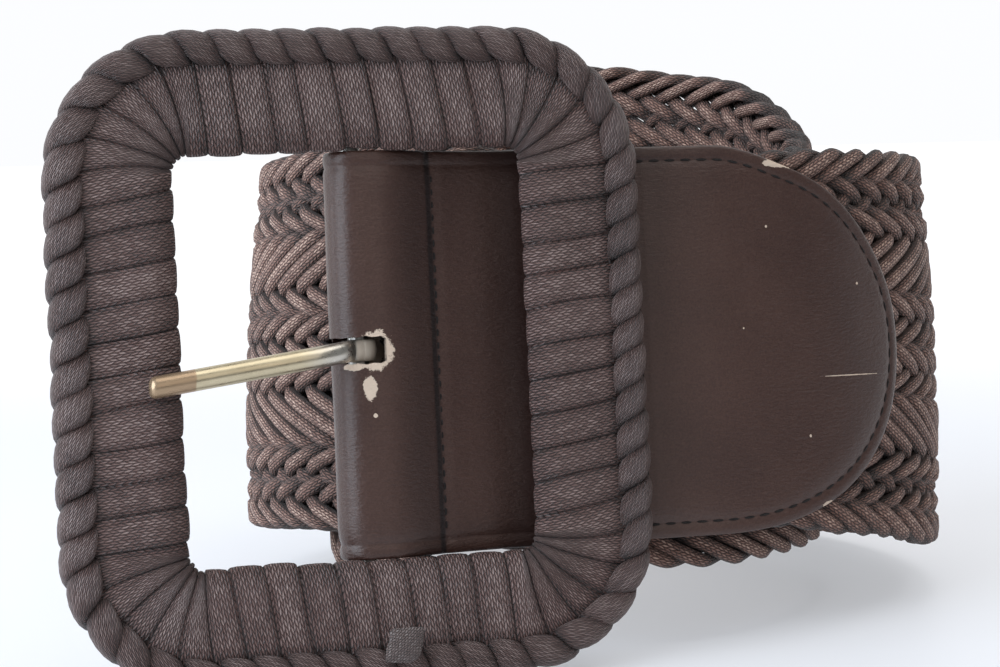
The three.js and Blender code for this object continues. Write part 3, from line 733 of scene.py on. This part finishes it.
def wrapping():
    """The flat turns round the frame. Neighbours share the joint between them."""
    path, to_right, walked = curve_through(WRAP_PATH, 44)
    normal = -to_right
    share = walked / walked[-1]
    slant = -WRAP_SLANT * np.clip((share - 0.5) * 2, -1, 1)
    shift = rng.normal(0, 0.22, WRAP_COUNT)
    lean = rng.normal(0, 0.3, WRAP_COUNT)
    joints = [
        PITCH * turn + slant + shift[turn % WRAP_COUNT]
        + lean[turn % WRAP_COUNT] * np.sin(2 * np.pi * share)
        for turn in range(WRAP_COUNT + 1)
    ]
    pile = Pile()
    for turn in range(WRAP_COUNT):
        low, high = joints[turn], joints[turn + 1]
        uneven = rng.normal(0, 0.1) + rng.normal(0, 0.1) * np.sin(9 * share + rng.uniform(0, 6))
        edge = rng.normal(0, 0.18) * np.exp(-((share - 0.5) / 0.12) ** 2)
        points, run = wound_cord(
            path, normal, walked, (low + high) / 2, FLAT_SECTION, (high - low) * 1.03 + 0.1, 1.3,
            rng.normal(0, 0.05), uneven + edge,
        )
        # Painted shade: each turn is darker towards its edges where it meets its neighbours, under the
        # ridge and near the opening's edge; a quarter of the shade is a random tone per turn
        edge_shade_factor = 1 - 0.85 * np.abs(FLAT_SECTION[:, 0]) ** 2.5
        hidden = smoothstep(path[:, 0], 13.6, 15.6) + 0.35 * (1 - smoothstep(path[:, 0], 0.5, 4.5))
        run[..., 0] += turn * 53.7
        run[..., 2] = 0.25 * rng.random() + 0.75 * edge_shade_factor[None, :] * (1 - 0.7 * hidden[:, None])
        pile.add_tube(points, run)
    return pile


# The ridge's top, from its inner side at the front over the outer edge to the back
RIDGE_FRONT = [(15.3, -2.4), (15.5, -3.9), (16.7, -4.55), (19.0, -4.65), (21.2, -4.1), (22.6, -2.5)]
RIDGE_PATH = RIDGE_FRONT + [(23.0, 0.0)] + [(w, -d) for w, d in RIDGE_FRONT[::-1]]


def ridge():
    """The half hitches along the outer edge, each one lying partly on the next."""
    path, normal, walked = curve_through(RIDGE_PATH, 36)
    share = walked / walked[-1]
    slant = RIDGE_SLANT * (share - 0.5) * 2
    saw = 0.8 * smoothstep(np.abs(share - 0.5), 0.16, 0.42)
    pile = Pile()
    for turn in range(WRAP_COUNT):
        uneven = rng.normal(-0.2, 0.07) + rng.normal(0, 0.08) * np.sin(9 * share)
        place = PITCH * (turn + 0.5) + rng.normal(0, 0.2) + slant
        points, run = wound_cord(
            path, normal, walked, place, PUFFY_SECTION, PITCH * rng.normal(1.2, 0.03), 2.4,
            rng.normal(0.42, 0.06), uneven, saw,
        )
        along, across = run[..., 0].copy(), run[..., 1].copy()
        run[..., 0] = along * math.cos(RIDGE_LAY) + across * math.sin(RIDGE_LAY) + turn * 31.1
        run[..., 1] = across * math.cos(RIDGE_LAY) - along * math.sin(RIDGE_LAY)
        # Painted shade: each hitch is darker towards its edges where it meets its neighbours; a
        # quarter of the shade is a random tone per hitch
        edge_shade_factor = 1 - np.abs(PUFFY_SECTION[:, 0] - 0.1) ** 2.5
        run[..., 2] = 0.25 * rng.random() + 0.75 * np.clip(edge_shade_factor, 0, 1)[None, :]
        pile.add_tube(points, run)
    return pile


def wound_buckle():
    dark, light, edge_light = (0.007, 0.003, 0.0025), (0.265, 0.193, 0.177), (0.215, 0.155, 0.143)
    wrap = cord_material("wrap_cord", dark, light, (1.5, 0.5, 0.5), 0.42, 0.05)
    wrapping().piece("wrapped_cord", wrap, "buckle", "wrap_cord", ("cord_wrap",))
    edge = cord_material("edge_cord", dark, edge_light, (1.5, 0.42, 0.5), 0.45, 0.05)
    ridge().piece("ridge_cord", edge, "buckle", "wrap_cord", ("edge_ridge",))


def cut_cord_end():
    """The wrapping cord's cut end, a flat nub in front of the frame's lower side."""
    rows, sides = 26, 20
    length, half_width, half_depth = 9.2, 3.7, 1.3
    middle_x, middle_z = 4.5, 8 - OUTER_HALF_HEIGHT
    t = np.linspace(0, 1, rows)
    around = 2 * np.pi * np.arange(sides) / sides
    swell = np.clip(1 - np.abs(2 * t - 1) ** 1.15, 0.03, 1) ** (1 / 1.25)
    rough = 1 + 0.06 * np.sin(5 * around[None, :] + 14 * t[:, None])
    rough = rough + rng.normal(0, 0.03, (rows, sides))
    along = (t - 0.5)[:, None] * length
    wide = swell[:, None] * half_width * np.cos(around)[None, :] * rough
    deep = swell[:, None] ** 0.5 * half_depth * np.sin(around)[None, :] * rough
    lean = math.radians(38)
    front = FRAME_PLANE - 4.9 - 0.3 - 1.4
    points = np.stack([
        middle_x + along * math.cos(lean) - wide * math.sin(lean),
        front + deep,
        middle_z + along * math.sin(lean) + wide * math.cos(lean),
    ], -1)
    run = np.stack(np.broadcast_arrays(along, wide, 0.6), -1)
    pile = Pile()
    pile.add_tube(points, run)
    material = cord_material(
        "cut_end", (0.03, 0.027, 0.026), (0.27, 0.245, 0.235), (0.8, 0.4, 0.5), 0.8, 0.1
    )
    pile.piece("cut_cord_end", material, "buckle", "cord_end", ("cord_end",))


# Prong


def wire_prong():
    """The wire from the loop to its rounded tip, flattened where it leaves the loop."""
    route = np.array([  # x, y and the wire's half thickness
        (0.7, -2.85, 0.55), (-1.6, -4.3, 0.8), (-4.4, -6.5, 1.4), (-9, -7.9, WIRE_RADIUS),
        (-20, -8.95, WIRE_RADIUS), (-39.4, -9.95, WIRE_RADIUS),
    ])
    places, _, _ = curve_through(route[:, :2], 60)
    half = np.interp(-places[:, 0], -route[:, 0], route[:, 2])
    tip = np.radians(np.linspace(0, 84, 8))[1:]
    ahead = unit(places[-1] - places[-2])
    places = np.concatenate([places, places[-1] + ahead * 1.2 * np.sin(tip)[:, None]])
    half = np.concatenate([half, WIRE_RADIUS * np.cos(tip) ** 0.6])
    high = np.where(places[:, 0] < -39.45, half, WIRE_RADIUS)
    ahead = unit(np.gradient(places, axis=0))
    sides = 28
    around = 2 * np.pi * np.arange(sides) / sides
    drop = PRONG_HEIGHT - np.maximum(0, -places[:, 0] - 2) * math.tan(math.radians(7.8))
    points = np.stack([
        places[:, :1] - ahead[:, 1:] * half[:, None] * np.cos(around),
        places[:, 1:] + ahead[:, :1] * half[:, None] * np.cos(around),
        drop[:, None] + high[:, None] * np.sin(around),
    ], -1)
    pile = Pile()
    pile.add_tube(points, np.zeros_like(points))
    # The loop round the bar, a closed ring of round wire
    ring_rows = 40
    turn = 2 * np.pi * np.arange(ring_rows) / ring_rows
    radius = 2.9 + 0.6 * np.cos(around)
    loop = np.stack(np.broadcast_arrays(
        np.cos(turn)[:, None] * radius, np.sin(turn)[:, None] * radius,
        PRONG_HEIGHT + WIRE_RADIUS * np.sin(around)[None, :],
    ), -1)
    pile.points.append(loop.reshape(-1, 3))
    pile.run.append(np.zeros((ring_rows * sides, 3)))
    pile.faces += grid_faces(ring_rows, sides, True, True, pile.count).tolist()
    pile.piece("gold_prong", prong_material(), "prong", "prong_metal", ("prong",))


# Leather tab: one sheet folded round the bar, worked out flat first. The flat sheet's
# places are a distance from the fold's middle, positive on the front layer, and a height.

# How far the D's upper rim is lowered, the mesh's columns as insets from the outline, the
# stitches' inset and pitch, and the slot's ends along the buckle
UPPER_RIM_DROP = 1.8
TAB_INSETS = np.array([0.0, 0.12, 0.35, 0.8, 1.5, 2.1, 2.5, 2.8, 3.1, 3.6, 4.6, 6.0])
STITCH_INSET = 2.8
STITCH_PITCH = 3.2
SLOT_START = -7.5
SLOT_END = 4.4


def layer_offset(length):
    """Distance of a layer's middle from the strap's middle."""
    over = strap_thickness(length) + 0.3 + LEATHER / 2
    return FOLD_MIDDLE + (over - FOLD_MIDDLE) * smoothstep(length, 3, 14)


def sheet_point(flat, height, out):
    """A place of the sheet in local millimetres, out from the sheet's middle."""
    flat, height, out = np.broadcast_arrays(flat, height, out)
    front = np.where(flat >= 0, 1.0, -1.0)
    length = np.maximum(np.abs(flat) - HALF_FOLD, 0)
    x, y, lift, *_, nx, ny = route_at(length)
    offset = -front * (layer_offset(length) + out)
    turn = np.clip(flat / FOLD_MIDDLE, -math.pi / 2, math.pi / 2)
    radius = FOLD_MIDDLE + out
    folded = np.abs(flat) < HALF_FOLD
    raised = lift * np.clip((length - 75) / 40, 0, 1)
    return np.stack([
        np.where(folded, -radius * np.cos(turn), x + nx * offset),
        np.where(folded, -radius * np.sin(turn), y + ny * offset),
        height + raised,
    ], -1)


def tab_outline():
    """Closed outline of the flat sheet, with places a millimetre apart."""
    t = np.sin(np.linspace(0, np.pi / 2, 60))
    length = TAB_STRAIGHT_END + (TAB_END - TAB_STRAIGHT_END) * t
    half = TAB_HALF_HEIGHT * np.sqrt(np.maximum(1 - t**2.1, 0))
    straight = np.linspace(0, HALF_FOLD + TAB_STRAIGHT_END, 40)[:-1]
    quarter = np.concatenate([
        np.stack([straight, np.full_like(straight, TAB_HALF_HEIGHT)], 1),
        np.stack([HALF_FOLD + length, half], 1),
    ])
    upper = np.concatenate([quarter, (quarter * (1, -1))[::-1][1:]])
    whole = np.concatenate([upper, (upper * (-1, 1))[::-1][1:-1]])
    at_end = smoothstep(np.abs(whole[:, 0]) - HALF_FOLD, 74, 90)
    whole[:, 1] -= UPPER_RIM_DROP * at_end * smoothstep(whole[:, 1], 4, 24)
    loop = np.concatenate([whole, whole[:1]])
    walked = np.concatenate([[0], np.cumsum(np.linalg.norm(np.diff(loop, axis=0), axis=1))])
    at = np.arange(0, walked[-1], 1.0)
    return np.stack([np.interp(at, walked, loop[:, k]) for k in range(2)], 1)


def tab_inset(outline):
    """The outline's inward direction at each place."""
    ahead = unit(np.roll(outline, -1, 0) - np.roll(outline, 1, 0))
    return np.stack([ahead[:, 1], -ahead[:, 0]], 1)


def seam(flat):
    """How near a place is to one of the seams across the tab, 1 on the seam."""
    return sum(np.exp(-(((flat - HALF_FOLD - place) / 0.6) ** 2)) for place in CROSS_SEAMS)


def cut_slot(tab):
    """Cuts the prong's slot through the fold, with uneven long sides."""
    x = np.linspace(SLOT_START, SLOT_END, 14)
    half = 2.5 + 0.15 * np.sin(x * 2.1) + rng.normal(0, 0.06, len(x))
    half -= 0.4 * smoothstep(x, SLOT_END - 0.5, SLOT_END)
    above, below = PRONG_HEIGHT + half, PRONG_HEIGHT - half
    outline = np.concatenate([np.stack([x, above], 1), np.stack([x, below], 1)[::-1]])
    count = len(outline)
    points = np.concatenate([np.insert(outline, 1, -8.0, 1), np.insert(outline, 1, 3.0, 1)])
    faces = [(k, (k + 1) % count, count + (k + 1) % count, count + k) for k in range(count)]
    faces += [tuple(range(count))[::-1], tuple(range(count, 2 * count))]
    mesh = bpy.data.meshes.new("slot_cutter")
    mesh.from_pydata(to_world(points).tolist(), [], faces)
    cutter = bpy.data.objects.new("slot_cutter", mesh)
    bpy.context.scene.collection.objects.link(cutter)
    modifier = tab.modifiers.new("slot", "BOOLEAN")
    modifier.object = cutter
    modifier.operation = "DIFFERENCE"
    modifier.solver = "EXACT"
    seen = tab.evaluated_get(bpy.context.evaluated_depsgraph_get())
    cut = bpy.data.meshes.new_from_object(seen)
    tab.modifiers.clear()
    tab.data = cut
    bpy.data.objects.remove(cutter)


def leather_tab():
    """The folded sheet with a turned edge, a stitched crease and slight waves."""
    outline = tab_outline()
    inward = tab_inset(outline)
    rows = len(outline)
    grid = outline[:, None] + inward[:, None] * TAB_INSETS[None, :, None]
    reach = HALF_FOLD + 84
    spine = np.stack([np.clip(outline[:, 0], -reach, reach), np.zeros(rows)], 1)
    inner = grid[:, -1]
    steps = np.linspace(0, 1, 19)[1:]
    middle = inner[:, None] + (spine - inner)[:, None] * steps[None, :, None]
    flat = np.concatenate([grid, middle], 1)
    inset = np.concatenate([TAB_INSETS, np.full(len(steps), 12.0)])
    crease = -0.24 * np.exp(-(((inset - STITCH_INSET) / 0.5) ** 2))[None, :]
    round_off = -0.45 * np.exp(-inset / 0.3)[None, :]
    puff = 0.16 * (smoothstep(inset, 3.0, 6.0))[None, :]
    swell = 0.12 * np.sin(flat[..., 0] / 5.3 + 0.8 * np.sin(flat[..., 1] / 7.0))
    swell = swell * smoothstep(inset, 3.0, 6.0)[None, :]
    seams = -0.5 * seam(flat[..., 0])
    relief = LEATHER / 2 + crease + round_off + puff + swell + seams
    outer = sheet_point(flat[..., 0], flat[..., 1], relief)
    columns = flat.shape[1]
    inner_face = sheet_point(flat[..., 0], flat[..., 1], -LEATHER / 2 - 0.2 * round_off)
    points = np.concatenate([outer.reshape(-1, 3), inner_face.reshape(-1, 3)])
    faces = grid_faces(rows, columns, close_rows=True).tolist()
    back = grid_faces(rows, columns, close_rows=True, start=rows * columns)
    faces += back[:, ::-1].tolist()
    i = np.arange(rows)
    j = (i + 1) % rows
    rim = np.stack([i * columns, (i + rows) * columns, (j + rows) * columns, j * columns], 1)
    faces += rim.tolist()
    material = leather_material("leather")
    replaced = ("leather_tab",)
    tab = make_piece("folded_leather", points, faces, material, "belt", None, replaced)
    cut_slot(tab)


def stitches():
    """Short raised threads along the tab's edge and across it."""
    outline = tab_outline()
    line = outline + tab_inset(outline) * STITCH_INSET
    closed = np.concatenate([line, line[:1]])
    step = np.linalg.norm(np.diff(closed, axis=0), axis=1)
    walked = np.concatenate([[0], np.cumsum(step)])
    count = int(walked[-1] / STITCH_PITCH)
    ends = []
    for k in range(count):
        begin = walked[-1] * k / count
        pair = [begin + 0.45, begin + walked[-1] / count - 0.45]
        ends.append([[np.interp(w, walked, closed[:, c]) for c in range(2)] for w in pair])
    seam_length, seam_stitches = 68, 28
    for place in CROSS_SEAMS:
        for k in range(seam_stitches):
            low = -seam_length / 2 + k * seam_length / seam_stitches
            high = low + seam_length / seam_stitches
            ends.append([[HALF_FOLD + place, low + 0.4], [HALF_FOLD + place, high - 0.4]])
    pile = Pile()
    sides = 6
    around = 2 * np.pi * np.arange(sides) / sides
    t = np.linspace(0, 1, 7)
    for begin, end in np.array(ends):
        along_edge = begin[0] != end[0]
        if abs(begin[0]) < HALF_FOLD + (50 if along_edge else 10):
            continue
        flat = begin + (end - begin) * t[:, None]
        heading = unit(end - begin)
        sidewise = np.array([-heading[1], heading[0]])
        thick = 0.24 * np.sqrt(np.clip(1 - (2 * t - 1) ** 4, 0.05, 1))
        wide = flat[:, None] + sidewise * (thick[:, None, None] * np.cos(around)[None, :, None])
        raised = LEATHER / 2 - 0.3 + 0.12 * np.sin(np.pi * t)
        out = raised[:, None] + thick[:, None] * np.sin(around) * 0.8
        points = sheet_point(wide[..., 0], wide[..., 1], out)
        run = np.stack(np.broadcast_arrays(t[:, None] * 4, np.cos(around)[None, :], 0.3), -1)
        pile.add_tube(points, run)
    material = cord_material(
        "seam_thread", (0.006, 0.004, 0.0035), (0.05, 0.03, 0.024), (0.6, 0.3, 0.5), 0.7, 0.0
    )
    pile.piece("tab_seams", material, "belt", "leather")


# Camera, light and floor


def aim(direction, roll):
    """Rotation of an object that looks along a direction, rolled about it."""
    forward = Vector(direction).normalized()
    right = forward.cross(Vector((0, 0, 1))).normalized()
    above = right.cross(forward)
    turned_right = right * math.cos(roll) - above * math.sin(roll)
    turned_up = right * math.sin(roll) + above * math.cos(roll)
    return Matrix((turned_right, turned_up, -forward)).transposed().to_4x4()


def add_camera():
    """The photo's camera. Its focal length is in widths of the picture."""
    data = bpy.data.cameras.new("camera")
    focal_length = 2.5475
    data.sensor_width = 36
    data.lens = focal_length * data.sensor_width
    camera = bpy.data.objects.new("camera", data)
    bpy.context.scene.collection.objects.link(camera)
    yaw, pitch = math.radians(13.86), math.radians(6.08)
    forward = (math.sin(yaw) * math.cos(pitch), math.cos(yaw) * math.cos(pitch), -math.sin(pitch))
    camera.matrix_world = (
        Matrix.Translation(Vector(BAR) + Vector((-0.088424, -0.470286, 0.054606)))
        @ aim(forward, math.radians(0.99))
    )
    bpy.context.scene.camera = camera


def add_light(name, place, target, size, power, colour):
    data = bpy.data.lights.new(name, "AREA")
    data.shape = "RECTANGLE"
    data.size, data.size_y = size
    data.energy = power
    data.color = colour
    light = bpy.data.objects.new(name, data)
    bpy.context.scene.collection.objects.link(light)
    place, target = Vector(place), Vector(target)
    light.matrix_world = Matrix.Translation(place) @ aim(target - place, 0)


def stage_plane(name, corners, material):
    mesh = bpy.data.meshes.new(name)
    mesh.from_pydata(corners, [], [(0, 1, 2, 3)])
    mesh.materials.append(material)
    plane = bpy.data.objects.new(name, mesh)
    bpy.context.scene.collection.objects.link(plane)


def add_stage():
    """A white studio: a floor that glows with painted light, a little near the belt and fully white
    away from it, a backdrop and lights.
    """
    scene = bpy.context.scene
    scene.view_settings.view_transform = "Standard"
    world = bpy.data.worlds.new("studio")
    world.use_nodes = True
    world.node_tree.nodes["Background"].inputs["Color"].default_value = (0.93, 0.96, 1.0, 1)
    world.node_tree.nodes["Background"].inputs["Strength"].default_value = 0.24
    scene.world = world
    half_width, backdrop_y, backdrop_height = 8.0, 2.6, 4
    s = Shader("pale_floor", Roughness=0.5, Specular_IOR_Level=0.2)
    place = s.place()
    from_belt = s.node("ShaderNodeVectorMath", operation="LENGTH")
    s.link(place, from_belt.inputs[0])
    distance = s.math("MULTIPLY_ADD", s.noise(place, 0.004, 2), 60, from_belt.outputs["Value"])
    # Painted light: the floor glows near the belt, which pales the belt's shadow, and glows white away
    # from it; nearest the camera it is painted dark and does not glow, standing in for the dim room in
    # front
    away = s.ramp(distance, 230, 620)
    front = s.ramp(s.parts(place)[1], -420, -230)
    away = s.math("MULTIPLY", away, front)
    near = s.mix(front, (0.10, 0.10, 0.11), (0.46, 0.47, 0.50))
    ground = s.use(
        Base_Color=s.mix(away, near, (0.02, 0.02, 0.02)),
        Emission_Color=s.mix(away, (0.94, 0.96, 1.0), (0.97, 0.98, 1.0)),
        Emission_Strength=s.math("MULTIPLY_ADD", away, 0.58, s.math("MULTIPLY", front, 0.40)),
    )
    left, right = -half_width, half_width
    corners = [(left, left, 0), (right, left, 0), (right, right, 0), (left, right, 0)]
    stage_plane("floor", corners, ground)
    s = Shader("backdrop", Base_Color=(0, 0, 0, 1), Roughness=1.0)
    cloud = s.noise(s.place(), 0.002, 2)
    glow = s.mix(cloud, (0.96, 0.97, 0.99), (0.97, 0.98, 1.0))
    white = s.use(Emission_Color=glow, Emission_Strength=1.0)
    corners = [(x, backdrop_y, z) for x, z in (
        (left, 0), (right, 0), (right, backdrop_height), (left, backdrop_height),
    )]
    stage_plane("backdrop", corners, white)
    add_light("window_left", (-0.85, -0.26, 0.38), (0, 0, 0.06), (1.2, 1.0), 18, (0.80, 0.90, 1.0))
    add_light("overhead", (0.25, -0.15, 1.1), (0, 0, 0.05), (1.1, 1.1), 7.0, (1.0, 0.98, 0.95))
    add_light("fill_front", (0.15, -1.0, 0.5), (0, 0, 0.06), (0.7, 0.7), 1.2, (1.0, 0.93, 0.86))


add_camera()
add_stage()
plaited_strap()
wound_buckle()
cut_cord_end()
wire_prong()
leather_tab()
stitches()
frame["nodes"]["buckle_core"].material_slots[0].material = steel_material()
